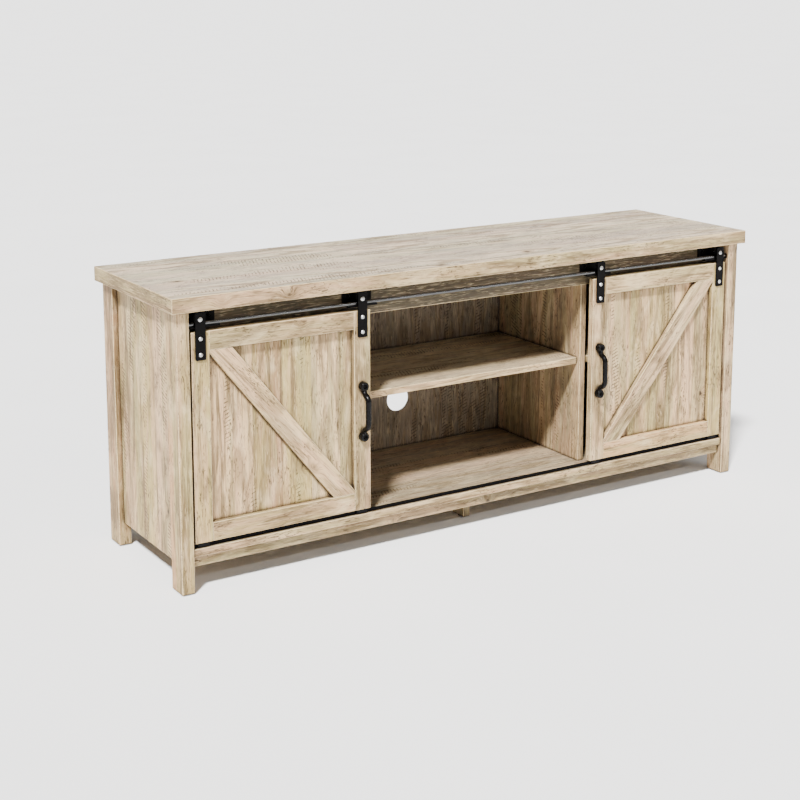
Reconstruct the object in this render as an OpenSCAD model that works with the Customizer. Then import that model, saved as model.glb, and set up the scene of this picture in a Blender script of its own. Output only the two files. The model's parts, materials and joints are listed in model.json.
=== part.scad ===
// Low television stand with two sliding barn doors that hang from one steel rod.
// Lengths are millimetres. +X is to the right, -Y is the front and +Z is up.
// The origin is on the floor, under the centre of the overall box.

/* [Overall size] */
// Width of the top panel
overall_w = 1473.2; // [1220:0.1:1770]
// Depth of the top panel
overall_d = 393.7; // [325:0.1:475]
// Height of the top face above the floor
overall_h = 596.9; // [495:0.1:720]

/* [Top and posts] */
// Thickness of the top panel
top_t = 30; // [18:0.5:40]
// Overhang of the top past the posts, on every side
top_overhang = 12.7; // [0:0.1:20]
// Width of a corner post
post_w = 27; // [24:0.5:45]
// Depth of a corner post
post_d = 49; // [40:0.5:60]
// Thickness of the plastic glide under each foot
glide_t = 2; // [1:0.5:5]
// Diameter of a glide
glide_d = 20; // [12:0.5:22]

/* [Carcass boards] */
// Thickness of the side panels and dividers
side_t = 15; // [14:0.5:18]
// Height of the side panels' and aprons' lower edges above the floor
skirt_rise = 50.8; // [30:0.1:55]
// Thickness of the bottom panel
bottom_t = 16; // [14:0.5:20]
// Height of the bottom panel's upper face
bottom_top = 88.9; // [85:0.1:105]
// Step from the posts' front faces back to the doors and the bottom panel
front_step = 5; // [3:0.5:8]
// Step from the posts' front faces back to the apron
apron_step = 14; // [10:0.5:20]
// Thickness of the aprons and the header board
apron_t = 15; // [14:0.5:16]
// Height of the header board
header_h = 60; // [54:0.5:80]
// Thickness of the back panels
back_t = 4; // [3:0.5:6]
// Clear width of the centre bay
centre_bay_w = 584.2; // [480:0.1:700]
// Diameter of the cable hole in the centre back panel
cable_hole_d = 60; // [40:1:80]
// Height of the cable hole's centre above the floor
cable_hole_z = 206; // [170:1:240]
// Width of a centre foot
foot_w = 17; // [15:0.5:30]
// Depth of a centre foot
foot_d = 42; // [30:0.5:60]
// Distance from the posts' front faces back to the centre foot
foot_step = 76; // [40:1:80]

/* [Shelves] */
// Clear height under the shelves
lower_bay_h = 228.6; // [190:0.1:260]
// Thickness of the shelves
shelf_t = 15; // [12:0.5:18]
// Step from the posts' front faces back to the shelves
shelf_step = 59; // [50:0.5:90]
// Gap at each end of a shelf
shelf_gap = 0.5; // [0.2:0.1:1.5]

/* [Doors] */
// Width of the door frame members
member_w = 38; // [34:0.5:50]
// Thickness of the door frame members
member_t = 12; // [9:0.5:15]
// Thickness of the door's back panel
door_panel_t = 4; // [3:0.5:6]
// Gap between a closed door and its corner post
door_post_gap = 6; // [3:0.5:10]
// Gap between a door's lower edge and the bottom panel
door_floor_gap = 10.5; // [10:0.5:14]
// Gap between a door's upper edge and the top panel
door_top_gap = 44; // [42:0.5:60]
// Width of the diagonal brace
brace_w = 42; // [30:0.5:55]
// Length of the brace's short edge against the stiles
brace_nose = 6; // [2:0.5:12]

/* [Rod, rollers and straps] */
// Diameter of the slide rod
rod_d = 8; // [7:0.5:10]
// Distance from the top panel down to the rod's centre
rod_drop = 28.9; // [28.5:0.1:32]
// Radius of a roller at the bottom of its groove
groove_r = 5.2; // [5:0.1:6]
// Radius of a roller's flanges
flange_r = 8.5; // [7.5:0.1:9]
// Width of a roller
roller_w = 10; // [9.8:0.2:14]
// Width of a hanger strap
strap_w = 21; // [18:0.5:30]
// Thickness of a hanger strap
strap_t = 3; // [2:0.5:4]
// Distance from the top panel down to a strap's upper end
strap_drop = 6.9; // [5:0.1:8]
// Distance from the door's upper edge down to the upper strap bolt
strap_bolt_drop = 13.3; // [11:0.1:16]
// Distance between the two strap bolts of a strap
strap_bolt_pitch = 31.5; // [25:0.5:38]
// Diameter of the strap and axle bolts
bolt_d = 5; // [4:0.5:6]

/* [Rod brackets and floor guide] */
// Width of a rod bracket
bracket_w = 68; // [60:1:80]
// Sheet thickness of a rod bracket
bracket_t = 2.5; // [2:0.5:3]
// Distance between the two bolts of a rod bracket
bracket_bolt_pitch = 42; // [34:1:46]
// Height of the floor guide's fin
guide_h = 7.5; // [5:0.5:8]
// Sheet thickness of the floor guide
guide_t = 1.5; // [1:0.1:2]
// Width of the floor guide's flat leg
guide_leg = 13; // [12:0.5:16]

/* [Handles] */
// Distance between a handle's two screws
handle_span = 107; // [96:1:128]
// Distance from the door's face out to the handle bar's centre
handle_offset = 24; // [22:0.5:32]
// Diameter of the handle bar
handle_bar_d = 12; // [10:0.5:14]
// Diameter of the round bosses at the handle's ends
boss_d = 19; // [17:0.5:24]
// Thickness of the bosses
boss_t = 12; // [11:0.5:14]

/* [Hidden] */
$fn = 64;

OAK = [0.78, 0.72, 0.61];
DARK_OAK = [0.62, 0.56, 0.47];
BEECH = [0.80, 0.66, 0.46];
BLACK_STEEL = [0.12, 0.11, 0.11];
ZINC = [0.72, 0.73, 0.75];
BLACK_NYLON = [0.08, 0.08, 0.09];

LEFT = -1;
RIGHT = 1;
FRONT = -1;
REAR = 1;
SIDES = [LEFT, RIGHT];

// Fits between pieces that share a joint or a hole
hole_fit = 0.05;
axle_fit = 0.05;
rod_gap = 0.3;
cut = 1;

// The handles reach further forward than the top, so the body sits a little behind the origin
body_w = overall_w - 2 * top_overhang;
body_d = overall_d - 2 * top_overhang;
handle_reach = handle_offset + handle_bar_d / 2 - front_step;
front_reach = body_d / 2 + max(top_overhang, handle_reach);
back_reach = body_d / 2 + top_overhang;
front_y = (front_reach - back_reach) / 2 - body_d / 2;
back_y = front_y + body_d;

// Carcass planes
top_z = overall_h - top_t;
inner_x = body_w / 2 - post_w;
post_y = [front_y + post_d, back_y - post_d];
back_face_y = back_y - back_t;
header_y = post_y[0] - apron_t;
bottom_z = bottom_top - bottom_t;
bay_x = centre_bay_w / 2;
divider_x = bay_x + side_t;
divider_mid_x = bay_x + side_t / 2;
side_mid_x = inner_x + side_t / 2;
shelf_z = bottom_top + lower_bay_h;
foot_ys = [front_y + foot_step, back_y - foot_step - foot_d];
apron_y = front_y + apron_step;
rear_apron_y = back_face_y - apron_t;

// Door planes, for the right-hand door; the left one is its mirror image
door_x = [bay_x, inner_x - door_post_gap];
door_z = [bottom_top + door_floor_gap, top_z - door_top_gap];
door_mid = [(door_x[0] + door_x[1]) / 2, (door_z[0] + door_z[1]) / 2];
door_y = front_y + front_step;
door_panel_y = door_y + member_t;
door_back_y = door_panel_y + door_panel_t;
stile_mid_xs = [door_x[0] + member_w / 2, door_x[1] - member_w / 2];

// Rod, rollers and straps
roller_side_gap = 0.65;
rod_r = rod_d / 2;
rod_y = door_y + roller_side_gap + roller_w / 2;
rod_z = top_z - rod_drop;
rod_end_gap = 0.5;
rod_screw_d = 4;
rod_screw_bite = 4;
rod_screw_head_d = 7.6;
rod_screw_head_h = 2.2;
axle_z = rod_z + rod_r + rod_gap + groove_r;
strap_corner_r = 2;
strap_edge = 10.5;
strap_bolt_zs = [door_z[1] - strap_bolt_drop, door_z[1] - strap_bolt_drop - strap_bolt_pitch];
strap_z = [strap_bolt_zs[1] - strap_edge, top_z - strap_drop];
nut_t = 4.2;
nut_d = 9.2;
nut_gap = 0.3;
thread_end = 1;
bolt_head_d = 8.6;
bolt_head_h = 2.6;
axle_head_d = 9.4;
socket_share = 0.42;
socket_floor = 0.35;

// Rod brackets: an inner pair over the dividers and an outer pair beside the posts
flange_t = 3;
bracket_side_gap = 0.5;
bracket_setback = 15.9;
bracket_xs = [bay_x + bracket_setback, inner_x - bracket_side_gap - bracket_w / 2];
bracket_z = rod_z - rod_r - flange_t;
bracket_top_gap = 0.5;
bracket_bolt_drop = 17.4;
bracket_bolt_z = top_z - bracket_bolt_drop;
bracket_bolt_d = 5;
bracket_bolt_grip = 12;

// Floor guide and the shoes that straddle it
guide_y = (door_y + door_back_y) / 2;
guide_screw_edge = 3.1;
guide_screw_y = guide_y + guide_leg - guide_t / 2 - guide_screw_edge;
guide_screw_d = 3;
guide_screw_head_d = 5;
guide_screw_head_h = 1;
guide_screw_bite = 10;
guide_screw_count = 5;
shoe_w = 24;
shoe_d = 10;
shoe_slot = 3;
shoe_gap = 1;
shoe_peg_d = 5;
shoe_peg_l = 10;

// Handles
bar_r = handle_bar_d / 2;
root_thinning = 1;
root_r = bar_r - root_thinning;
bar_sides = 20;
boss_rim = 2;
handle_bend = 70;
arm_steps = 6;
arm_root = 6;
arm_start = boss_t / 2;
arm_r = (handle_offset - arm_start) / (2 * (1 - cos(handle_bend)));
arm_rise = 2 * arm_r * sin(handle_bend);
handle_screw_d = 4;
handle_screw_grip = 14;
cup_d = 9.6;
cup_depth = 2.5;
cup_gap = 0.5;

// Hidden joinery: dowels, cams with their bolts, shelf pins and back screws
dowel_d = 8;
dowel_l = 24;
dowel_inset = 60;
cam_d = 15;
cam_depth = 12;
cam_reach = 34;
cam_bolt_d = 6;
cam_bolt_grip = 10;
cam_slot_l = 6;
cam_slot_w = 1.2;
cam_slot_depth = 1.5;
cam_inset = 94;
cam_ys = [front_y + cam_inset, back_y - cam_inset];
pin_d = 5;
pin_grip = 7;
pin_inset = 30;
pin_ys = [front_y + shelf_step + pin_inset, post_y[1] - pin_inset];
back_screw_d = 3;
back_screw_grip = 12;
back_screw_head_d = 7;
back_screw_head_h = 1.2;
back_screw_inset = 60;
back_screw_spread = 100;
seam_screw_count = 4;
foot_glide_edge = 1;

ALONG_X = [0, 90, 0];
ALONG_Y = [90, 0, 0];
ALONG_Z = [0, 0, 0];

// Each dowel is a place and a direction
side_dowel_zs = [skirt_rise + dowel_inset, (skirt_rise + top_z) / 2, top_z - dowel_inset];
DOWELS = concat(
    [for (s = SIDES, y = post_y, z = side_dowel_zs) [[s * side_mid_x, y, z], ALONG_Y]],
    [for (s = SIDES) [[s * inner_x, header_y + apron_t / 2, top_z - header_h / 2], ALONG_X]],
    [for (s = SIDES, y = [apron_y, rear_apron_y]) [[s * inner_x, y + apron_t / 2,
                                                  (skirt_rise + bottom_z) / 2], ALONG_X]],
    [for (s = SIDES, y = cam_ys) [[s * divider_mid_x, y, bottom_top], ALONG_Z]],
    [for (y = foot_ys) [[0, y + foot_d / 2, bottom_z], ALONG_Z]]
);

// Each cam is the middle of its open face, that face's direction and its bolt's direction
CAMS = concat(
    [for (s = SIDES, y = cam_ys) [[s * inner_x, y, top_z - cam_reach], [0, s * 90, 0],
                                  [s * side_t / 2, 0, 0], ALONG_Z]],
    [for (s = SIDES, y = cam_ys) [[s * divider_x, y, top_z - cam_reach], [0, -s * 90, 0],
                                  [-s * side_t / 2, 0, 0], ALONG_Z]],
    [for (s = SIDES, y = cam_ys) [[s * (inner_x - cam_reach), y, bottom_z], ALONG_Z,
                                  [0, 0, bottom_t / 2], [0, s * 90, 0]]]
);

// Back screws: up the seams behind the dividers, and along the bottom panel and centre shelf
seam_screw_pitch = (top_z - bottom_top - 2 * back_screw_inset) / (seam_screw_count - 1);
SCREW_SPOTS = concat(
    [for (s = SIDES, i = [0 : seam_screw_count - 1])
        [s * divider_mid_x, bottom_top + back_screw_inset + i * seam_screw_pitch]],
    [for (s = SIDES,
          x = [bay_x / 2, door_mid[0] - back_screw_spread, door_mid[0] + back_screw_spread])
        [s * x, bottom_top - bottom_t / 2]],
    [for (s = SIDES) [s * bay_x / 2, shelf_z + shelf_t / 2]]
);

PIN_WALLS = [-inner_x, -divider_x, -bay_x, bay_x, divider_x, inner_x];
PIN_SPOTS = [for (x = PIN_WALLS, y = pin_ys) [x, y, shelf_z - pin_d / 2]];

// ---- Shared shapes ----

// A box between two opposite corners
module slab(low, high) translate(low) cube(high - low);

// The right-hand shape as drawn, or its mirror image for the left
module sided(side) mirror([side == LEFT ? 1 : 0, 0, 0]) children();

// A round bar whose middle is at a place and which runs in a direction
module bar(place, turn, d, l) translate(place) rotate(turn) cylinder(d = d, h = l, center = true);

// A round hole that runs inwards from the front: y is its mouth
module front_hole(x, y, z, d, l)
    translate([x, y - cut, z]) rotate([-90, 0, 0]) cylinder(d = d, h = l + cut);

// A hex-socket button bolt: its head sits on the XY plane and its shank runs down
module button_bolt(head_d, head_h, d, l) {
    dome_r = (pow(head_d / 2, 2) + pow(head_h, 2)) / (2 * head_h);
    difference() {
        union() {
            rotate_extrude() intersection() {
                translate([0, head_h - dome_r]) circle(dome_r);
                square([head_d / 2, head_h]);
            }
            translate([0, 0, -l]) cylinder(d = d, h = l + head_h / 2);
        }
        translate([0, 0, head_h * socket_floor])
            cylinder(d = head_d * socket_share, h = head_h, $fn = 6);
    }
}

// A button bolt that enters from the front
module front_bolt(x, y, z, head_d, head_h, d, l)
    translate([x, y, z]) rotate([90, 0, 0]) button_bolt(head_d, head_h, d, l);

// A hexagon nut on a bolt that runs along Y, with its front face at y
module back_nut(x, y, z) translate([x, y, z]) rotate([-90, 0, 0]) difference() {
    cylinder(d = nut_d, h = nut_t, $fn = 6);
    translate([0, 0, -cut]) cylinder(d = bolt_d + 2 * hole_fit, h = nut_t + 2 * cut);
}

// ---- Joinery ----

module dowel_holes()
    for (d = DOWELS) bar(d[0], d[1], dowel_d + 2 * hole_fit, dowel_l + 2 * hole_fit);

module cam_bolt(c, fit)
    translate(c[0] + c[2]) rotate(c[3])
        cylinder(d = cam_bolt_d + 2 * fit, h = cam_reach + cam_bolt_grip + fit);

module cam_pockets() for (c = CAMS) {
    translate(c[0]) rotate(c[1]) translate([0, 0, -cut])
        cylinder(d = cam_d + 2 * hole_fit, h = cam_depth + cut);
    cam_bolt(c, hole_fit);
}

module pin_holes()
    for (p = PIN_SPOTS) bar(p, ALONG_X, pin_d + 2 * hole_fit, 2 * (pin_grip + hole_fit));

module back_screw_holes()
    for (s = SCREW_SPOTS)
        bar([s[0], back_y, s[1]], ALONG_Y, back_screw_d + 2 * hole_fit,
            2 * (back_t + back_screw_grip + hole_fit));

// ---- Carcass ----

module top_panel() color(OAK) difference() {
    slab([-overall_w / 2, front_y - top_overhang, top_z],
         [overall_w / 2, back_y + top_overhang, overall_h]);
    cam_pockets();
}

module post(side, end) color(OAK) difference() {
    x = side == LEFT ? -body_w / 2 : inner_x;
    y = end == FRONT ? front_y : post_y[1];
    translate([x, y, glide_t]) cube([post_w, post_d, top_z - glide_t]);
    dowel_holes();
}

module front_left_post() post(LEFT, FRONT);
module front_right_post() post(RIGHT, FRONT);
module rear_left_post() post(LEFT, REAR);
module rear_right_post() post(RIGHT, REAR);

module side_panel(side) color(OAK) difference() {
    sided(side) slab([inner_x, post_y[0], skirt_rise], [inner_x + side_t, post_y[1], top_z]);
    dowel_holes();
    cam_pockets();
    pin_holes();
}

module left_side_panel() side_panel(LEFT);
module right_side_panel() side_panel(RIGHT);

module divider(side) color(OAK) difference() {
    sided(side) slab([bay_x, post_y[0], bottom_top], [divider_x, back_face_y, top_z]);
    dowel_holes();
    cam_pockets();
    pin_holes();
    back_screw_holes();
}

module left_divider() divider(LEFT);
module right_divider() divider(RIGHT);

module bottom_panel() color(OAK) difference() {
    slab([-inner_x, door_y, bottom_z], [inner_x, back_face_y, bottom_top]);
    dowel_holes();
    cam_pockets();
    back_screw_holes();
    guide_screw_spots() translate([0, 0, -guide_screw_bite - hole_fit])
        cylinder(d = guide_screw_d + 2 * hole_fit, h = guide_screw_bite + cut);
}

module shelf(x0, x1) color(OAK) difference() {
    slab([x0 + shelf_gap, front_y + shelf_step, shelf_z],
         [x1 - shelf_gap, back_face_y, shelf_z + shelf_t]);
    back_screw_holes();
}

module left_shelf() shelf(-inner_x, -divider_x);
module centre_shelf() shelf(-bay_x, bay_x);
module right_shelf() shelf(divider_x, inner_x);

module back_panel(x0, x1) difference() {
    slab([x0, back_face_y, bottom_z], [x1, back_y, top_z]);
    back_screw_holes();
}

module left_back_panel() color(OAK) back_panel(-inner_x, -divider_mid_x);
module right_back_panel() color(OAK) back_panel(divider_mid_x, inner_x);
module centre_back_panel() color(OAK) difference() {
    back_panel(-divider_mid_x, divider_mid_x);
    bar([0, back_y, cable_hole_z], ALONG_Y, cable_hole_d, 4 * back_t);
}

module header_board() color(OAK) difference() {
    slab([-inner_x, header_y, top_z - header_h], [inner_x, post_y[0], top_z]);
    dowel_holes();
    bracket_bolt_spots()
        front_hole(0, header_y, 0, bracket_bolt_d + 2 * hole_fit, bracket_bolt_grip + hole_fit);
}

module apron(y) color(DARK_OAK) difference() {
    slab([-inner_x, y, skirt_rise], [inner_x, y + apron_t, bottom_z]);
    dowel_holes();
}

module front_apron() apron(apron_y);
module rear_apron() apron(rear_apron_y);

module centre_feet() color(DARK_OAK) difference() {
    for (y = foot_ys) slab([-foot_w / 2, y, glide_t], [foot_w / 2, y + foot_d, bottom_z]);
    dowel_holes();
}

module foot_glides() color(BLACK_NYLON) {
    for (s = SIDES, y = [front_y + post_d / 2, back_y - post_d / 2])
        translate([s * (body_w - post_w) / 2, y, 0]) cylinder(d = glide_d, h = glide_t);
    for (y = foot_ys)
        translate([0, y + foot_d / 2, 0]) cylinder(d = foot_w - 2 * foot_glide_edge, h = glide_t);
}

module shelf_pins() color(ZINC)
    for (p = PIN_SPOTS) bar(p, ALONG_X, pin_d, 2 * pin_grip);

module dowels() color(BEECH)
    for (d = DOWELS) bar(d[0], d[1], dowel_d, dowel_l);

// Cam locks, and the bolts that run from each cam's middle into the next board
module cam_fittings() color(ZINC) for (c = CAMS) {
    cam_bolt(c, 0);
    difference() {
        translate(c[0]) rotate(c[1]) cylinder(d = cam_d, h = cam_depth);
        cam_bolt(c, hole_fit);
        translate(c[0]) rotate(c[1]) translate([0, 0, -cut]) cam_slot();
    }
}

// Cross recess in a cam's open face
module cam_slot() for (turn = [0, 90]) rotate([0, 0, turn])
    slab([-cam_slot_l / 2, -cam_slot_w / 2, 0], [cam_slot_l / 2, cam_slot_w / 2, cut + cam_slot_depth]);

module back_screws() color(ZINC) for (s = SCREW_SPOTS)
    translate([s[0], back_y, s[1]]) rotate([-90, 0, 0]) {
        cylinder(d = back_screw_head_d, h = back_screw_head_h);
        translate([0, 0, -back_t - back_screw_grip])
            cylinder(d = back_screw_d, h = back_t + back_screw_grip);
    }

// ---- Rod, brackets and floor guide ----

module rod_screw_spots() for (s = SIDES, x = bracket_xs)
    translate([s * x, rod_y, bracket_z]) rotate([180, 0, 0]) children();

module slide_rod() color(BLACK_STEEL) difference() {
    bar([0, rod_y, rod_z], ALONG_X, rod_d, 2 * (inner_x - rod_end_gap));
    rod_screw_spots() translate([0, 0, -flange_t - rod_screw_bite - hole_fit])
        cylinder(d = rod_screw_d + 2 * hole_fit, h = flange_t + rod_screw_bite);
}

module bracket_bolt_spots() for (s = SIDES, x = bracket_xs, i = [-1, 1])
    translate([s * x + i * bracket_bolt_pitch / 2, 0, bracket_bolt_z]) children();

// Four angle brackets: a plate on the header board and a flange under the rod
module rod_brackets() color(BLACK_STEEL) difference() {
    for (s = SIDES, x = bracket_xs) translate([s * x - bracket_w / 2, 0, 0]) {
        slab([0, header_y - bracket_t, bracket_z], [bracket_w, header_y, top_z - bracket_top_gap]);
        slab([0, rod_y - rod_r, bracket_z], [bracket_w, header_y, bracket_z + flange_t]);
    }
    bracket_bolt_spots() front_hole(0, header_y - bracket_t, 0, bracket_bolt_d + 2 * hole_fit,
                                    bracket_t + cut);
    rod_screw_spots() translate([0, 0, -flange_t - cut])
        cylinder(d = rod_screw_d + 2 * hole_fit, h = flange_t + 2 * cut);
}

module bracket_bolts() color(BLACK_STEEL) {
    bracket_bolt_spots() front_bolt(0, header_y - bracket_t, 0, bolt_head_d, bolt_head_h,
                                    bracket_bolt_d, bracket_t + bracket_bolt_grip);
    rod_screw_spots() button_bolt(rod_screw_head_d, rod_screw_head_h, rod_screw_d,
                                  flange_t + rod_screw_bite);
}

// Steel angle on the bottom panel: an upright fin and a flat leg behind it
module bottom_guide() color(BLACK_STEEL) difference() {
    union() {
        slab([-inner_x, guide_y - guide_t / 2, bottom_top],
             [inner_x, guide_y + guide_t / 2, bottom_top + guide_h]);
        slab([-inner_x, guide_y - guide_t / 2, bottom_top],
             [inner_x, guide_y - guide_t / 2 + guide_leg, bottom_top + guide_t]);
    }
    guide_screw_spots() cylinder(d = guide_screw_d + 2 * hole_fit, h = 3 * guide_t, center = true);
}

module guide_screw_spots() for (i = [0 : guide_screw_count - 1])
    translate([inner_x * (2 * i + 1 - guide_screw_count) / guide_screw_count, guide_screw_y,
               bottom_top]) children();

module guide_screws() color(BLACK_STEEL) guide_screw_spots() {
    translate([0, 0, -guide_screw_bite])
        cylinder(d = guide_screw_d, h = guide_screw_bite + guide_t);
    translate([0, 0, guide_t]) cylinder(d = guide_screw_head_d, h = guide_screw_head_h);
}

// ---- Doors, drawn on the right ----

module strap_bolt_spots() for (x = stile_mid_xs, z = strap_bolt_zs)
    translate([x, 0, z]) children();

module handle_screw_spots() for (i = [-1, 1])
    translate([stile_mid_xs[0], 0, door_mid[1] + i * handle_span / 2]) children();

// Holes through the door for the strap bolts, and blind ones for the handle screws and shoes
module door_holes() {
    strap_bolt_spots() front_hole(0, door_y, 0, bolt_d + 2 * hole_fit,
                                  member_t + door_panel_t + cut);
    handle_screw_spots() front_hole(0, door_y, 0, handle_screw_d + 2 * hole_fit,
                                    handle_screw_grip + hole_fit);
    for (x = stile_mid_xs) translate([x, guide_y, door_z[0] - cut])
        cylinder(d = shoe_peg_d + 2 * hole_fit, h = shoe_peg_l + hole_fit + cut);
}

module door_panel(side) color(OAK) sided(side) difference() {
    slab([door_x[0], door_panel_y, door_z[0]], [door_x[1], door_back_y, door_z[1]]);
    door_holes();
}

module stile(side, mid_x) color(OAK) sided(side) difference() {
    slab([mid_x - member_w / 2, door_y, door_z[0]],
         [mid_x + member_w / 2, door_panel_y, door_z[1]]);
    door_holes();
}

module rail(side, z) color(OAK) sided(side)
    slab([door_x[0] + member_w, door_y, z], [door_x[1] - member_w, door_panel_y, z + member_w]);

// Diagonal brace from the upper outer corner to the lower inner one, cut to both corners
module brace(side) color(OAK) sided(side) {
    a = (door_x[1] - door_x[0]) / 2 - member_w;
    b = (door_z[1] - door_z[0]) / 2 - member_w;
    reach = norm([2 * a, 2 * (b - brace_nose)]);
    slope = atan2(2 * (b - brace_nose), 2 * a) + asin(brace_w / reach);
    toe = 2 * a - (2 * b - brace_nose) / tan(slope);
    translate([door_mid[0], door_panel_y, door_mid[1]]) rotate([90, 0, 0])
        linear_extrude(member_t) polygon([
            [a, b - brace_nose], [a, b], [a - toe, b],
            [-a, brace_nose - b], [-a, -b], [toe - a, -b]
        ]);
}

// A flat strap with eased corners
module strap_outline() {
    h = strap_z[1] - strap_z[0];
    translate([strap_corner_r - strap_w / 2, 0]) square([strap_w - 2 * strap_corner_r, h]);
    translate([-strap_w / 2, strap_corner_r]) square([strap_w, h - 2 * strap_corner_r]);
    for (i = [-1, 1], z = [strap_corner_r, h - strap_corner_r])
        translate([i * (strap_w / 2 - strap_corner_r), z]) circle(strap_corner_r);
}

module door_straps(side) color(BLACK_STEEL) sided(side) difference() {
    for (x = stile_mid_xs) translate([x, door_y, strap_z[0]]) rotate([90, 0, 0])
        linear_extrude(strap_t) strap_outline();
    strap_bolt_spots() front_hole(0, door_y - strap_t, 0, bolt_d + 2 * hole_fit, strap_t + cut);
    for (x = stile_mid_xs)
        front_hole(x, door_y - strap_t, axle_z, bolt_d + 2 * hole_fit, strap_t + cut);
}

module strap_bolts(side) color(ZINC) sided(side) strap_bolt_spots()
    front_bolt(0, door_y - strap_t, 0, bolt_head_d, bolt_head_h, bolt_d,
               strap_t + member_t + door_panel_t + nut_t + thread_end);

module roller_axles(side) color(ZINC) sided(side) for (x = stile_mid_xs)
    front_bolt(x, door_y - strap_t, axle_z, axle_head_d, bolt_head_h, bolt_d,
               strap_t + roller_side_gap + roller_w + nut_gap + nut_t + thread_end);

module door_nuts(side) color(ZINC) sided(side) {
    strap_bolt_spots() back_nut(0, door_back_y, 0);
    for (x = stile_mid_xs) back_nut(x, rod_y + roller_w / 2 + nut_gap, axle_z);
}

// Grooved roller that rides on the rod and turns on its axle bolt
module roller(side, x) color(BLACK_NYLON) sided(side) translate([x, rod_y, axle_z])
    rotate(ALONG_Y) rotate_extrude() difference() {
        translate([bolt_d / 2 + axle_fit, -roller_w / 2])
            square([flange_r - bolt_d / 2 - axle_fit, roller_w]);
        translate([axle_z - rod_z, 0]) circle(rod_r + rod_gap);
    }

// Nylon shoes under the door: each straddles the guide's fin and is pegged into a stile
module guide_shoes(side) color(BLACK_NYLON) sided(side) for (x = stile_mid_xs)
    translate([x, guide_y, 0]) {
        difference() {
            slab([-shoe_w / 2, -shoe_d / 2, bottom_top + guide_t + shoe_gap],
                 [shoe_w / 2, shoe_d / 2, door_z[0]]);
            slab([-shoe_w, -shoe_slot / 2, bottom_top],
                 [shoe_w, shoe_slot / 2, bottom_top + guide_h + shoe_gap]);
        }
        translate([0, 0, door_z[0] - cut / 2])
            cylinder(d = shoe_peg_d, h = shoe_peg_l + cut / 2);
    }

// A round boss with a rounded rim, on the door's face
module boss() rotate([90, 0, 0]) rotate_extrude() {
    square([boss_d / 2 - boss_rim, boss_t]);
    square([boss_d / 2, boss_t - boss_rim]);
    translate([boss_d / 2 - boss_rim, boss_t - boss_rim]) circle(boss_rim);
}

// Centre line of the handle bar: it leaves the lower boss, swings out in an S and comes back
// above. Each point is [y, z, lean from upright, bar radius].
function arm_line() = concat(
    [for (i = [0 : arm_steps]) let (lean = handle_bend * i / arm_steps)
        [-arm_start - arm_r * (1 - cos(lean)), arm_root + arm_r * sin(lean), lean,
         root_r + (bar_r - root_r) * i / arm_steps]],
    [for (i = [1 : arm_steps]) let (lean = handle_bend * (1 - i / arm_steps))
        [arm_r * (1 - cos(lean)) - handle_offset, arm_root + arm_rise - arm_r * sin(lean), lean,
         bar_r]]
);

function bar_line() = let (half = arm_line()) concat(
    [for (p = half) [p[0], p[1] - handle_span / 2, p[2], p[3]]],
    [for (i = [len(half) - 1 : -1 : 0]) let (p = half[i])
        [p[0], handle_span / 2 - p[1], -p[2], p[3]]]
);

// The bar as one tube of rings along its centre line
module handle_bar() {
    line = bar_line();
    last = len(line) - 1;
    points = [for (p = line, k = [0 : bar_sides - 1]) let (turn = 360 * k / bar_sides)
        [p[3] * sin(turn), p[0] + p[3] * cos(turn) * cos(p[2]),
         p[1] + p[3] * cos(turn) * sin(p[2])]];
    ends = [[for (k = [bar_sides - 1 : -1 : 0]) k],
            [for (k = [0 : bar_sides - 1]) last * bar_sides + k]];
    walls = [for (i = [0 : last - 1], k = [0 : bar_sides - 1]) let (next = (k + 1) % bar_sides)
        [i * bar_sides + k, i * bar_sides + next,
         (i + 1) * bar_sides + next, (i + 1) * bar_sides + k]];
    polyhedron(points, concat(ends, walls));
}

module handle(side) color(BLACK_STEEL) sided(side) difference() {
    union() {
        handle_screw_spots() translate([0, door_y, 0]) boss();
        translate([stile_mid_xs[0], door_y, door_mid[1]]) handle_bar();
    }
    handle_screw_spots() {
        front_hole(0, door_y - boss_t, 0, handle_screw_d + 2 * hole_fit, boss_t + cut);
        front_hole(0, door_y - boss_t, 0, cup_d, cup_depth);
    }
}

module handle_screws(side) color(BLACK_STEEL) sided(side) handle_screw_spots()
    front_bolt(0, door_y - boss_t + cup_depth, 0, cup_d - 2 * cup_gap, cup_depth, handle_screw_d,
               boss_t - cup_depth + handle_screw_grip);

module left_door_panel() door_panel(LEFT);
module left_door_inner_stile() stile(LEFT, stile_mid_xs[0]);
module left_door_outer_stile() stile(LEFT, stile_mid_xs[1]);
module left_door_top_rail() rail(LEFT, door_z[1] - member_w);
module left_door_bottom_rail() rail(LEFT, door_z[0]);
module left_door_brace() brace(LEFT);
module left_door_straps() door_straps(LEFT);
module left_strap_bolts() strap_bolts(LEFT);
module left_roller_axles() roller_axles(LEFT);
module left_door_nuts() door_nuts(LEFT);
module left_inner_roller() roller(LEFT, stile_mid_xs[0]);
module left_outer_roller() roller(LEFT, stile_mid_xs[1]);
module left_guide_shoes() guide_shoes(LEFT);
module left_handle() handle(LEFT);
module left_handle_screws() handle_screws(LEFT);

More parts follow.
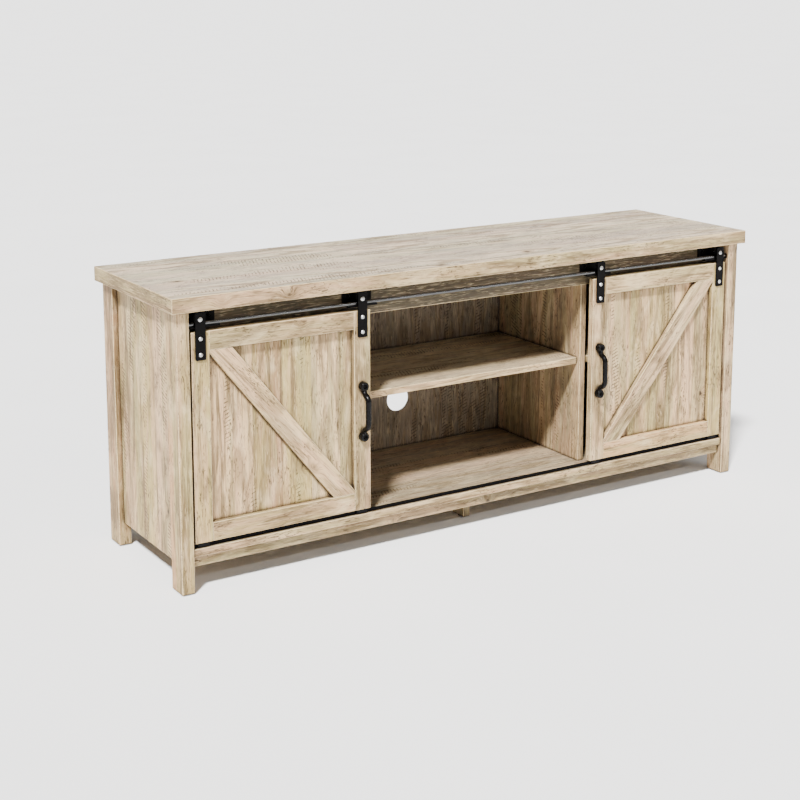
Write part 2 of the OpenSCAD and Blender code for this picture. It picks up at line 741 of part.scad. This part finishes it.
module right_door_panel() door_panel(RIGHT);
module right_door_inner_stile() stile(RIGHT, stile_mid_xs[0]);
module right_door_outer_stile() stile(RIGHT, stile_mid_xs[1]);
module right_door_top_rail() rail(RIGHT, door_z[1] - member_w);
module right_door_bottom_rail() rail(RIGHT, door_z[0]);
module right_door_brace() brace(RIGHT);
module right_door_straps() door_straps(RIGHT);
module right_strap_bolts() strap_bolts(RIGHT);
module right_roller_axles() roller_axles(RIGHT);
module right_door_nuts() door_nuts(RIGHT);
module right_inner_roller() roller(RIGHT, stile_mid_xs[0]);
module right_outer_roller() roller(RIGHT, stile_mid_xs[1]);
module right_guide_shoes() guide_shoes(RIGHT);
module right_handle() handle(RIGHT);
module right_handle_screws() handle_screws(RIGHT);

// ---- Assembly ----

top_panel();
front_left_post();
front_right_post();
rear_left_post();
rear_right_post();
left_side_panel();
right_side_panel();
left_divider();
right_divider();
bottom_panel();
left_shelf();
centre_shelf();
right_shelf();
left_back_panel();
centre_back_panel();
right_back_panel();
header_board();
front_apron();
rear_apron();
centre_feet();
foot_glides();
slide_rod();
rod_brackets();
bracket_bolts();
bottom_guide();
guide_screws();
shelf_pins();
dowels();
cam_fittings();
back_screws();
left_door_panel();
left_door_inner_stile();
left_door_outer_stile();
left_door_top_rail();
left_door_bottom_rail();
left_door_brace();
left_door_straps();
left_strap_bolts();
left_roller_axles();
left_door_nuts();
left_inner_roller();
left_outer_roller();
left_guide_shoes();
left_handle();
left_handle_screws();
right_door_panel();
right_door_inner_stile();
right_door_outer_stile();
right_door_top_rail();
right_door_bottom_rail();
right_door_brace();
right_door_straps();
right_strap_bolts();
right_roller_axles();
right_door_nuts();
right_inner_roller();
right_outer_roller();
right_guide_shoes();
right_handle();
right_handle_screws();
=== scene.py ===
"""Low television stand with two sliding barn doors: finishes, eased edges, floor, light and camera.

Lengths are metres, and names that end in _mm are millimetres.
"""
import json
import math

import bmesh
import bpy
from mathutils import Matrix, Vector


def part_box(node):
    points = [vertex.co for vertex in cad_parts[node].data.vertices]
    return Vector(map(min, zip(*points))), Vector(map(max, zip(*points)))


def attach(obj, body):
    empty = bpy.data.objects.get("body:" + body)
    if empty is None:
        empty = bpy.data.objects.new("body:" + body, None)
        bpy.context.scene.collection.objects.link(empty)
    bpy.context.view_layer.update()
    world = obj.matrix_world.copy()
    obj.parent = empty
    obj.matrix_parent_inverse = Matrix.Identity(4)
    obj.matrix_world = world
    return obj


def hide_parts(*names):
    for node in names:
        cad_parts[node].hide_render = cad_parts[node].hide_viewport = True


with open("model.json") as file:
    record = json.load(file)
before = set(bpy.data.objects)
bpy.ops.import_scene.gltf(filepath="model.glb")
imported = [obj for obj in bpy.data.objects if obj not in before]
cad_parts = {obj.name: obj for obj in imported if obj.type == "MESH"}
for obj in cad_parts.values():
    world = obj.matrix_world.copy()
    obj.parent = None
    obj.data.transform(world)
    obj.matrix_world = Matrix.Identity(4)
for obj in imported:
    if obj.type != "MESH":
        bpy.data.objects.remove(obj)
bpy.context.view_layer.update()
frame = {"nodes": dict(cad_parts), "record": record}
MM = 0.001


# ---- Node helpers ----

def linear(hex_colour):
    """An sRGB hex colour as linear RGBA."""
    parts = [int(hex_colour[i:i + 2], 16) / 255 for i in (1, 3, 5)]
    return [c / 12.92 if c <= 0.04045 else ((c + 0.055) / 1.055) ** 2.4 for c in parts] + [1]


def live(sockets, key):
    """The socket with that name or number, among those that the node's settings leave in use."""
    if isinstance(key, int):
        return [s for s in sockets if s.enabled][key]
    return next(s for s in sockets if s.enabled and s.name == key)


def add(tree, kind, inputs=(), stops=None, **settings):
    """Adds a shader node. Inputs are values, or nodes and sockets to link; stops fill a ramp."""
    node = tree.nodes.new("ShaderNode" + kind)
    for name, value in settings.items():
        setattr(node, name, value)
    for key, value in inputs.items() if isinstance(inputs, dict) else enumerate(inputs):
        socket = live(node.inputs, key)
        if isinstance(value, bpy.types.Node):
            value = live(value.outputs, 0)
        if isinstance(value, bpy.types.NodeSocket):
            tree.links.new(value, socket)
        else:
            socket.default_value = value
    if stops:
        ramp = node.color_ramp
        while len(ramp.elements) < len(stops):
            ramp.elements.new(0.5)
        for element, (place, colour) in zip(ramp.elements, stops):
            element.position = place
            element.color = linear(colour)
    return node


def material(name):
    """A new material with its tree and its principled shader."""
    made = bpy.data.materials.new(name)
    made.use_nodes = True
    return made, made.node_tree, made.node_tree.nodes["Principled BSDF"]


def finish_surface(tree, shader, inputs, height=None, depth_mm=0.1, strength=0.5):
    """Puts values and links on the shader's own sockets, with a bump where a height is given."""
    for key, value in inputs.items():
        if isinstance(value, bpy.types.Node):
            tree.links.new(live(value.outputs, 0), shader.inputs[key])
        else:
            shader.inputs[key].default_value = value
    if height is not None:
        bump = add(tree, "Bump", {"Strength": strength, "Distance": depth_mm * MM, "Height": height})
        tree.links.new(bump.outputs[0], shader.inputs["Normal"])


# ---- Washed oak laminate ----
# Oak printed on paper under a satin wear layer. The print shows sawn planks side by side: each
# has its own tone and its own arched or straight figure, under fine grain, dark pores, chalky
# patches, bands of saw marks and a few knots.
# Painted on the print: corners darkened by an ambient occlusion node, which is painted shade.

AXES = {"x": (0, 1, 2), "y": (1, 2, 0), "z": (2, 0, 1)}
PLANK_TONES = [(0.0, "#927C55"), (0.25, "#C4966C"), (0.42, "#AF9860"), (0.58, "#9E8660"),
               (0.78, "#CFAC7E"), (1.0, "#B98A5D")]
STREAK = "#665235"
OLIVE = "#958C60"
BLUSH = "#C69E7E"
PORE = "#453420"
# Chalky patches; on eased edges part wear, part painted highlight
CHALK_AND_EDGE_HIGHLIGHT = "#D6BF96"
# Knot hearts, and painted shade darkening the corners
KNOT_AND_CORNER_SHADE = "#281B10"
# Painted shade for the board under the top
SHADE = "#2B2620"
SILVER = "#BFBCB4"
# Painted shade for the boards inside and below the frame, the feet and the right front post
SHADE_GREY = "#736A5E"
# Painted shade for the shelves
SHELF_SHADE = "#8C8270"

# A seed moves each board to its own part of the pattern, so many mm along, across and deep
SEED_STEP_MM = (211.7, 37.3, 5.1)
# A face that looks along the grain more than this shows it cut across
CUT_ACROSS = 0.8
PLANK_MM = 66
# A narrow board lies within one plank of this width
ONE_PLANK_MM = 400
KNOT_CELL_MM = (130, 80)
KNOT_RAGGED_MM = 9
KNOT_BENDS_GRAIN_MM = 16.0
# The share of cells without a knot
KNOT_FREE = 0.45
# Length of a radian of the arched figure, so arches repeat about every 240 mm
ARCH_RADIAN_MM = 38
ARCH_BOW = 26.0
ARCH_WANDER = 7.0
# Radians of the saw's ticks in a mm along and across the grain: a tick every 7.5 mm
SAW_SLANT = (0.78, -0.30, 0)
SAW_DRIFT = 6.0
# Reach of the ambient occlusion that darkens corners, which is painted shade
CORNER_SHADE_MM = 9
EDGE_SEED = 71
BANDING_SEED = 77


def grain_space(tree, grain, seed, lean=0.0):
    """Millimetres along and across the grain. Faces that cut the grain show it edgewise."""
    spot = add(tree, "TexCoord")
    turned = add(tree, "VectorRotate", {"Vector": spot.outputs["Object"], "Angle": lean},
                 rotation_type="Y_AXIS")
    place = add(tree, "SeparateXYZ", [add(tree, "VectorMath", [turned, (1 / MM,) * 3],
                                          operation="MULTIPLY")])
    facing = add(tree, "SeparateXYZ", [spot.outputs["Normal"]])
    a, b, c = (place.outputs[i] for i in AXES[grain])
    steep = add(tree, "Math", [facing.outputs[AXES[grain][0]]], operation="ABSOLUTE")
    cut_face = add(tree, "Math", [steep, CUT_ACROSS], operation="GREATER_THAN")
    along = add(tree, "Mix", {"Factor": cut_face, "A": a, "B": b})
    side = add(tree, "Math", [b, c], operation="ADD")
    across = add(tree, "Mix", {"Factor": cut_face, "A": side, "B": c})
    step_along, step_across, step_deep = (seed * step for step in SEED_STEP_MM)
    spread = add(tree, "Math", [across, step_across], operation="ADD")
    shifted = add(tree, "Math", [along, step_along], operation="ADD")
    return add(tree, "CombineXYZ", [shifted, spread, step_deep])


def blotches(tree, space, long_mm, wide_mm, detail=3.0, warp=0.0):
    """Noise in patches about this long along the grain and this wide across it."""
    scaled = add(tree, "VectorMath", [space, (1 / long_mm, 1 / wide_mm, 1)], operation="MULTIPLY")
    return add(tree, "TexNoise", {"Vector": scaled, "Scale": 1.0, "Detail": detail,
                                  "Roughness": 0.6, "Distortion": warp})


def masked(tree, pattern, low, high, most=1.0, mask=1.0):
    """0 below low, rising smoothly to most above high, and only where the mask is."""
    ramp = add(tree, "MapRange", {"Value": pattern, "From Min": low, "From Max": high,
                                  "To Min": 0.0, "To Max": most}, interpolation_type="SMOOTHSTEP")
    return add(tree, "Math", [ramp, mask], operation="MULTIPLY")


def knots(tree, space):
    """Where the grain bends round a knot, and the knot's dark heart. About half the cells have one."""
    ragged = add(tree, "TexNoise", {"Vector": space, "Scale": 1 / 14, "Detail": 2.0})
    torn = add(tree, "VectorMath", [ragged.outputs["Color"], (KNOT_RAGGED_MM, KNOT_RAGGED_MM, 0)],
               operation="MULTIPLY")
    cell_long, cell_wide = KNOT_CELL_MM
    cells = add(tree, "VectorMath", [add(tree, "VectorMath", [space, torn], operation="ADD"),
                                     (1 / cell_long, 1 / cell_wide, 0)], operation="MULTIPLY")
    spots = add(tree, "TexVoronoi", {"Vector": cells, "Scale": 1.0, "Randomness": 1.0})
    chosen = add(tree, "Math", [add(tree, "SeparateXYZ", [spots.outputs["Color"]]), KNOT_FREE],
                 operation="GREATER_THAN")
    near = masked(tree, spots.outputs["Distance"], 0.24, 0.0, 1.0, chosen)
    heart = masked(tree, spots.outputs["Distance"], 0.075, 0.03, 1.0, chosen)
    return near, heart


def arches(tree, space, plank_mm):
    """Nested arches of flat-sawn figure, one stack up the middle of each plank."""
    parts = add(tree, "SeparateXYZ", [space])
    turn = add(tree, "Math", [parts.outputs[1], 1 / plank_mm], operation="MULTIPLY")
    middle = add(tree, "Math", [add(tree, "Math", [turn], operation="FRACT"), 0.5],
                 operation="SUBTRACT")
    bow = add(tree, "Math", [add(tree, "Math", [middle, middle], operation="MULTIPLY"), ARCH_BOW],
              operation="MULTIPLY")
    rise = add(tree, "Math", [parts.outputs[0], 1 / ARCH_RADIAN_MM], operation="MULTIPLY")
    wander = add(tree, "Math", [blotches(tree, space, 150, 40, 2), ARCH_WANDER],
                 operation="MULTIPLY")
    phase = add(tree, "Math", [add(tree, "Math", [rise, bow], operation="ADD"), wander],
                operation="ADD")
    return add(tree, "Math", [phase], operation="SINE")


def saw_marks(tree, space):
    """Short slanted ticks 7.5 mm apart that a circular saw left, in broken bands."""
    slant = add(tree, "VectorMath", [space, SAW_SLANT], operation="DOT_PRODUCT")
    drift = add(tree, "Math", [blotches(tree, space, 60, 26), SAW_DRIFT], operation="MULTIPLY")
    phase = add(tree, "Math", [live(slant.outputs, "Value"), drift], operation="ADD")
    tick = masked(tree, add(tree, "Math", [phase], operation="SINE"), 0.2, 0.8)
    band = masked(tree, blotches(tree, space, 420, 46, 1), 0.60, 0.63, 1.0, tick)
    return masked(tree, blotches(tree, space, 22, 11, 2), 0.40, 0.54, 1.0, band)


def tint(tree, layers):
    """Colours laid over each other: the first is the ground, and each other has its own amount."""
    ground = layers[0]
    for colour, amount in layers[1:]:
        ground = add(tree, "Mix", {"Factor": amount, "A": ground, "B": linear(colour)},
                     data_type="RGBA")
    return ground


def washed_oak(name, grain, seed, lean=0.0, wide=True, over=None):
    """Washed oak laminate with its grain along an axis, and a colour washed over the ground.

    A wide board shows planks side by side with saw marks, and a narrow one is a single plank. The
    washed colour is a greyer tone on the top, painted shade on the boards inside and below the frame,
    and wear with a painted highlight on eased edges. Corners are darkened by ambient occlusion, which
    is painted shade.
    """
    plank_mm = PLANK_MM if wide else ONE_PLANK_MM
    made, tree, shader = material(name)
    flat = grain_space(tree, grain, seed, lean)
    near, heart = knots(tree, flat)
    push = add(tree, "CombineXYZ", {1: add(tree, "Math", [near, KNOT_BENDS_GRAIN_MM],
                                           operation="MULTIPLY")})
    space = add(tree, "VectorMath", [flat, push], operation="ADD")

    # Two plank widths laid over each other give planks of uneven width, each with its own tone
    rows = add(tree, "VectorMath", [flat, (0, 1 / plank_mm, 1)], operation="MULTIPLY")
    plank = add(tree, "TexWhiteNoise", {"Vector": add(tree, "VectorMath", [rows], operation="FLOOR")})
    rows_2 = add(tree, "VectorMath", [flat, (0, 0.63 / plank_mm, 1)], operation="MULTIPLY")
    plank_2 = add(tree, "TexWhiteNoise", {"Vector": add(tree, "VectorMath", [rows_2],
                                                        operation="FLOOR")})
    pair = add(tree, "Math", [add(tree, "Math", [plank, 0.6], operation="MULTIPLY"),
                              add(tree, "Math", [plank_2, 0.4], operation="MULTIPLY")],
               operation="ADD")
    ground = add(tree, "ValToRGB", [pair], stops=PLANK_TONES)

    # Real pores are a few tenths of a millimetre wide; they are drawn ten times as wide to show
    fine = blotches(tree, space, 34, 2.5, 2, 0.9)
    pores = blotches(tree, space, 13, 3.0, 2, 0.6)
    crowd = masked(tree, blotches(tree, space, 90, 34, 2, 0.6), 0.42, 0.62, 0.85)
    streaks = blotches(tree, space, 300, 15, 4, 0.8)
    bands = blotches(tree, space, 380, 34, 2, 0.5)
    corner = add(tree, "AmbientOcclusion", {"Distance": CORNER_SHADE_MM * MM},
                 samples=6).outputs["AO"]
    cloud = blotches(tree, space, 120, 50, 3, 0.8)
    arched = masked(tree, plank_2, 0.45, 0.55)
    colour = tint(tree, [
        ground,
        (STREAK, masked(tree, plank, 0.40, 0.0, 0.45)),
        (CHALK_AND_EDGE_HIGHLIGHT, masked(tree, plank, 0.65, 1.0, 0.40)),
        (OLIVE, masked(tree, bands, 0.50, 0.62, 0.50)),
        (BLUSH, masked(tree, bands, 0.50, 0.38, 0.45)),
        (STREAK, masked(tree, cloud, 0.50, 0.30, 0.60)),
        (CHALK_AND_EDGE_HIGHLIGHT, masked(tree, cloud, 0.52, 0.66, 0.45)),
        (STREAK, masked(tree, streaks, 0.50, 0.66, 0.80)),
        # The board's wash: painted shade on inner boards, wear with a painted highlight on eased
        # edges, a greyer tone on the top
        *([over] if over else []),
        (STREAK, masked(tree, arches(tree, space, plank_mm), 0.2, 0.95, 0.50, arched)),
        (CHALK_AND_EDGE_HIGHLIGHT, masked(tree, fine, 0.48, 0.30, 0.35)),
        (PORE, masked(tree, fine, 0.53, 0.74, 0.70)),
        (PORE, masked(tree, pores, 0.54, 0.64, 1.0, crowd)),
        *([(PORE, masked(tree, saw_marks(tree, space), 0.0, 1.0, 0.75))] if wide else []),
        (STREAK, masked(tree, near, 0.0, 1.0, 0.55)),
        (KNOT_AND_CORNER_SHADE, masked(tree, heart, 0.0, 1.0, 0.92)),
        # Corners darkened by ambient occlusion: painted shade
        (KNOT_AND_CORNER_SHADE, masked(tree, corner, 0.86, 0.48, 0.92))])
    gloss = add(tree, "MapRange", {"Value": fine, "To Min": 0.50, "To Max": 0.68})
    finish_surface(tree, shader, {"Base Color": colour, "Roughness": gloss,
                                  "Specular IOR Level": 0.25},
                   height=fine, depth_mm=0.25, strength=0.35)
    return made


# ---- Metals and plastics ----

def coated_steel(name, colour, roughness, grit_mm, depth_mm, shine):
    """Powder-coated or lacquered steel: near black, with a fine orange-peel skin."""
    made, tree, shader = material(name)
    spot = add(tree, "TexCoord").outputs["Object"]
    skin = add(tree, "TexNoise", {"Vector": spot, "Scale": 1 / (grit_mm * MM), "Detail": 2.0})
    patches = add(tree, "TexNoise", {"Vector": spot, "Scale": 1 / (40 * MM), "Detail": 3.0})
    tone = add(tree, "Mix", {"Factor": patches, "A": linear(colour), "B": linear("#080707")},
               data_type="RGBA")
    gloss = add(tree, "MapRange", {"Value": skin, "To Min": roughness - 0.08,
                                   "To Max": roughness + 0.1})
    finish_surface(tree, shader, {"Base Color": tone, "Roughness": gloss, "IOR": 1.5,
                                  "Specular IOR Level": shine},
                   height=skin, depth_mm=depth_mm, strength=0.4)
    return made


def zinc_plate(name):
    """Bright zinc plating: pale grey metal with faint passivation clouds."""
    made, tree, shader = material(name)
    spot = add(tree, "TexCoord").outputs["Object"]
    cloud = add(tree, "TexNoise", {"Vector": spot, "Scale": 1 / (4 * MM), "Detail": 3.0})
    tone = add(tree, "ValToRGB", [cloud], stops=[(0.3, "#B9BBBD"), (0.7, "#DCDDDC")])
    gloss = add(tree, "MapRange", {"Value": cloud, "To Min": 0.22, "To Max": 0.42})
    finish_surface(tree, shader, {"Base Color": tone, "Roughness": gloss, "Metallic": 1.0},
                   height=cloud, depth_mm=0.05, strength=0.3)
    return made


def moulded_nylon(name):
    """Moulded black nylon: a matt, slightly mottled skin."""
    made, tree, shader = material(name)
    spot = add(tree, "TexCoord").outputs["Object"]
    grain = add(tree, "TexNoise", {"Vector": spot, "Scale": 1 / (0.8 * MM), "Detail": 2.0})
    tone = add(tree, "ValToRGB", [grain], stops=[(0.3, "#070708"), (0.7, "#0E0E10")])
    finish_surface(tree, shader, {"Base Color": tone, "Roughness": 0.52, "IOR": 1.53,
                                  "Specular IOR Level": 0.1},
                   height=grain, depth_mm=0.05, strength=0.4)
    return made


def raw_beech(name):
    """Turned beech dowel: pinkish tan with short brown flecks."""
    made, tree, shader = material(name)
    spot = add(tree, "TexCoord").outputs["Object"]
    flecks = add(tree, "TexNoise", {"Vector": spot, "Scale": 1 / (1.5 * MM), "Detail": 2.0})
    tone = add(tree, "ValToRGB", [flecks], stops=[(0.35, "#A9805A"), (0.6, "#CFA77C")])
    finish_surface(tree, shader, {"Base Color": tone, "Roughness": 0.7}, height=flecks)
    return made


# ---- Boards with eased edges ----

EASE_MM = 1.1
# An edge shorter than this belongs to a drilled hole, and stays sharp
SHORT_EDGE_MM = 10
FLAT = math.radians(0.5)
CORNER = math.radians(25)


def eased_board(node, body, skins):
    """A copy of a board whose long edges are rounded over, with a paler skin on the rounding that is
    part wear, part painted highlight.

    A third skin is the banding on the upright edges of a level board.
    """
    shape = bmesh.new()
    shape.from_mesh(frame["nodes"][node].data)
    bmesh.ops.remove_doubles(shape, verts=shape.verts, dist=0.01 * MM)
    bmesh.ops.dissolve_limit(shape, angle_limit=FLAT, verts=shape.verts, edges=shape.edges)
    rims = [e for e in shape.edges if len(e.link_faces) == 2
            and e.calc_length() > SHORT_EDGE_MM * MM and e.calc_face_angle() > CORNER]
    bmesh.ops.bevel(shape, geom=rims, offset=EASE_MM * MM, segments=2, profile=0.5,
                    affect="EDGES", clamp_overlap=True, material=1)
    for face in shape.faces:
        if len(skins) > 2 and face.material_index == 0 and abs(face.normal.z) < 0.5:
            face.material_index = 2
    mesh = bpy.data.meshes.new(node + "_eased")
    shape.to_mesh(mesh)
    shape.free()
    # The CAD's own normals don't fit the eased shape
    if "custom_normal" in mesh.attributes:
        mesh.attributes.remove(mesh.attributes["custom_normal"])
    for face in mesh.polygons:
        face.use_smooth = False
    for skin in skins:
        mesh.materials.append(skin)
    board = bpy.data.objects.new(node + "_eased", mesh)
    bpy.context.scene.collection.objects.link(board)
    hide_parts(node)
    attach(board, body)


def brace_lean():
    """Angle of the brace's grain from level, from the corners of its box."""
    low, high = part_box("left_door_brace")
    return math.atan2(high.z - low.z, high.x - low.x)


LEVEL_GRAIN = ("top_panel", "bottom_panel", "header_board", "front_apron", "rear_apron",
               "left_shelf", "centre_shelf", "right_shelf")
NARROW = ("post", "stile", "rail", "brace", "feet", "apron", "header_board")
BANDED = ("top_panel", "bottom_panel", "left_shelf", "centre_shelf", "right_shelf")
# The top is washed greyer; the boards inside and below the frame, the feet and the right front post
# are washed darker, which is painted shade
TONE_AND_PAINTED_SHADE = {"top_panel": (SILVER, 0.42), "header_board": (SHADE, 0.88), "front_apron": (SHADE_GREY, 0.2),
            "rear_apron": (SHADE_GREY, 0.3), "centre_feet": (SHADE_GREY, 0.4), "bottom_panel": (SHADE_GREY, 0.65),
            "left_back_panel": (SHADE_GREY, 0.85), "centre_back_panel": (SHADE_GREY, 0.85),
            "right_back_panel": (SHADE_GREY, 0.85), "right_divider": (SHADE_GREY, 0.35),
            "left_divider": (SHADE_GREY, 0.35), "centre_shelf": (SHELF_SHADE, 0.65),
            "left_shelf": (SHELF_SHADE, 0.5), "right_shelf": (SHELF_SHADE, 0.5),
            "front_right_post": (SHADE_GREY, 0.2)}


def board_finish(node, seed, slope):
    """The laminate for one board: its grain's direction, plank width, and the wash from the table,
    which is painted shade on the darker boards.
    """
    grain = "x" if node in LEVEL_GRAIN or node.endswith(("rail", "brace")) else "z"
    lean = 0.0
    if node.endswith("brace"):
        lean = -slope if node.startswith("left") else slope
    wide = not node.endswith(NARROW)
    return washed_oak("washed_oak_" + node, grain, seed, lean, wide, TONE_AND_PAINTED_SHADE.get(node))


def boards():
    """Every laminate board, each with a figure of its own."""
    slope = brace_lean()
    # Paler skin on the eased edges: part wear, part painted highlight
    worn_and_highlit_edge = washed_oak("washed_oak_rubbed_and_highlit_edge", "x", EDGE_SEED, wide=False, over=(CHALK_AND_EDGE_HIGHLIGHT, 0.7))
    bodies = {n: body for body, nodes in frame["record"]["behaviour"]["bodies"].items()
              for n in nodes}
    nodes = [s["node"] for s in frame["record"]["subparts"]
             if s["material_slot"] == "oak_laminate"]
    banding = washed_oak("washed_oak_banding", "x", BANDING_SEED, wide=False)
    for seed, node in enumerate(nodes, start=1):
        skins = [board_finish(node, seed, slope), worn_and_highlit_edge] + [banding] * (node in BANDED)
        eased_board(node, bodies[node], skins)


# The CAD's bore has 0.05 mm of room round the axle. A body turned by 90 degrees is posed through
# Euler angles, whose rounding puts it up to 0.06 mm off centre, so the bore seen here has more.
BORE_PLAY_MM = 0.12
BORE_REACH_MM = 0.02


def free_roller(node):
    """A copy of a roller with a slightly wider bore."""
    low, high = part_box(node)
    x, z = (low.x + high.x) / 2, (low.z + high.z) / 2
    mesh = frame["nodes"][node].data.copy()
    radii = [math.hypot(v.co.x - x, v.co.z - z) for v in mesh.vertices]
    bore = min(radii) + BORE_REACH_MM * MM
    for vertex, radius in zip(mesh.vertices, radii):
        if radius < bore:
            grow = 1 + BORE_PLAY_MM * MM / radius
            vertex.co.x = x + (vertex.co.x - x) * grow
            vertex.co.z = z + (vertex.co.z - z) * grow
    roller = bpy.data.objects.new(node + "_free", mesh)
    bpy.context.scene.collection.objects.link(roller)
    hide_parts(node)
    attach(roller, node)
    return mesh


def fittings():
    """Steel, zinc, nylon and beech on the fittings, by the record's slots."""
    powder = coated_steel("black_powder_coat", "#040303", roughness=0.46, grit_mm=0.9,
                          depth_mm=0.06, shine=0.06)
    lacquer = coated_steel("black_lacquered_rod", "#020202", roughness=0.14, grit_mm=1.4,
                           depth_mm=0.005, shine=1.0)
    wrought = coated_steel("black_wrought_iron", "#020202", roughness=0.26, grit_mm=5.0,
                           depth_mm=0.3, shine=0.12)
    by_slot = {"black_steel": powder, "zinc_steel": zinc_plate("bright_zinc"),
               "black_nylon": moulded_nylon("moulded_nylon"),
               "beech_dowel": raw_beech("raw_beech")}
    own = {"slide_rod": lacquer, "left_handle": wrought, "right_handle": wrought}
    for part in frame["record"]["subparts"]:
        node, slot = part["node"], part["material_slot"]
        if slot in by_slot:
            if node.endswith("_roller"):
                mesh = free_roller(node)
            else:
                mesh = frame["nodes"][node].data
            mesh.materials.clear()
            mesh.materials.append(own.get(node, by_slot[slot]))


# ---- Floor, light and camera ----

# Lengths and places in metres, angles in degrees
HAZE = 1.35
OVERHEAD = 0.25
FLOOR_HALF = 200.0
KEY_TOWARD = (1.0, 0.92, -1.75)
KEY_STRENGTH = 11.6
KEY_SPREAD = 7
STRIP_LONG = 3.4
STRIP_WIDE = 0.03
STRIP_WATTS = 40
STRIP_AT = (2.0, -2.6, 1.8)
STRIP_TOWARD = (0, 2.4, -1.25)
CAMERA_AT = (-1.889, -2.822, 1.201)
CAMERA_YAW = 32.21
CAMERA_PITCH = 10.18


def studio_floor():
    """A pale seamless floor."""
    made, tree, shader = material("pale_floor")
    spot = add(tree, "TexCoord").outputs["Object"]
    mottle = add(tree, "TexNoise", {"Vector": spot, "Scale": 2.0, "Detail": 2.0})
    tone = add(tree, "ValToRGB", [mottle], stops=[(0.3, "#F2F1F0"), (0.7, "#F5F4F3")])
    finish_surface(tree, shader, {"Base Color": tone, "Roughness": 0.9,
                                  "Specular IOR Level": 0.0})
    mesh = bpy.data.meshes.new("floor")
    half = FLOOR_HALF
    mesh.from_pydata([(-half, -half, 0), (half, -half, 0), (half, half, 0), (-half, half, 0)],
                     [], [(0, 1, 2, 3)])
    mesh.materials.append(made)
    floor = bpy.data.objects.new("floor", mesh)
    bpy.context.scene.collection.objects.link(floor)


def distant_light(name, toward, strength, spread):
    """Even light that comes from one side, as soft as its spread in degrees is wide."""
    data = bpy.data.lights.new(name, "SUN")
    data.energy = strength
    data.angle = math.radians(spread)
    lamp = bpy.data.objects.new(name, data)
    lamp.rotation_euler = Vector(toward).to_track_quat("-Z", "Y").to_euler()
    bpy.context.scene.collection.objects.link(lamp)


def strip_light():
    """A long thin lamp to the camera's right, whose reflection draws a bright line on the rod."""
    data = bpy.data.lights.new("strip_light", "AREA")
    data.shape = "RECTANGLE"
    data.size = STRIP_LONG
    data.size_y = STRIP_WIDE
    data.energy = STRIP_WATTS
    lamp = bpy.data.objects.new("strip_light", data)
    lamp.location = STRIP_AT
    lamp.rotation_euler = Vector(STRIP_TOWARD).to_track_quat("-Z", "Y").to_euler()
    lamp.visible_camera = False
    bpy.context.scene.collection.objects.link(lamp)


def studio_light():
    """A dim room with a bright haze low down, a key from the front left and a strip lamp."""
    world = bpy.data.worlds.new("studio")
    bpy.context.scene.world = world
    world.use_nodes = True
    tree = world.node_tree
    up = add(tree, "SeparateXYZ", [add(tree, "TexCoord").outputs["Generated"]])
    level = add(tree, "MapRange", {"Value": up.outputs[2], "From Min": 0.02, "From Max": 0.16,
                                   "To Min": HAZE, "To Max": OVERHEAD},
                interpolation_type="SMOOTHSTEP")
    sky = tree.nodes["Background"]
    sky.inputs["Color"].default_value = linear("#FFFFFF")
    tree.links.new(level.outputs[0], sky.inputs["Strength"])
    distant_light("key_light", KEY_TOWARD, KEY_STRENGTH, KEY_SPREAD)
    strip_light()


def camera():
    """The main view: from the front left and a little above, with a small vertical shift."""
    data = bpy.data.cameras.new("camera")
    data.sensor_width = 36
    data.lens = 69.84
    data.shift_y = -0.1875
    eye = bpy.data.objects.new("camera", data)
    yaw, pitch = math.radians(CAMERA_YAW), math.radians(CAMERA_PITCH)
    look = Vector((math.sin(yaw) * math.cos(pitch), math.cos(yaw) * math.cos(pitch),
                   -math.sin(pitch)))
    eye.location = CAMERA_AT
    eye.rotation_euler = look.to_track_quat("-Z", "Y").to_euler()
    bpy.context.scene.collection.objects.link(eye)
    bpy.context.scene.camera = eye


boards()
fittings()
studio_floor()
studio_light()
camera()
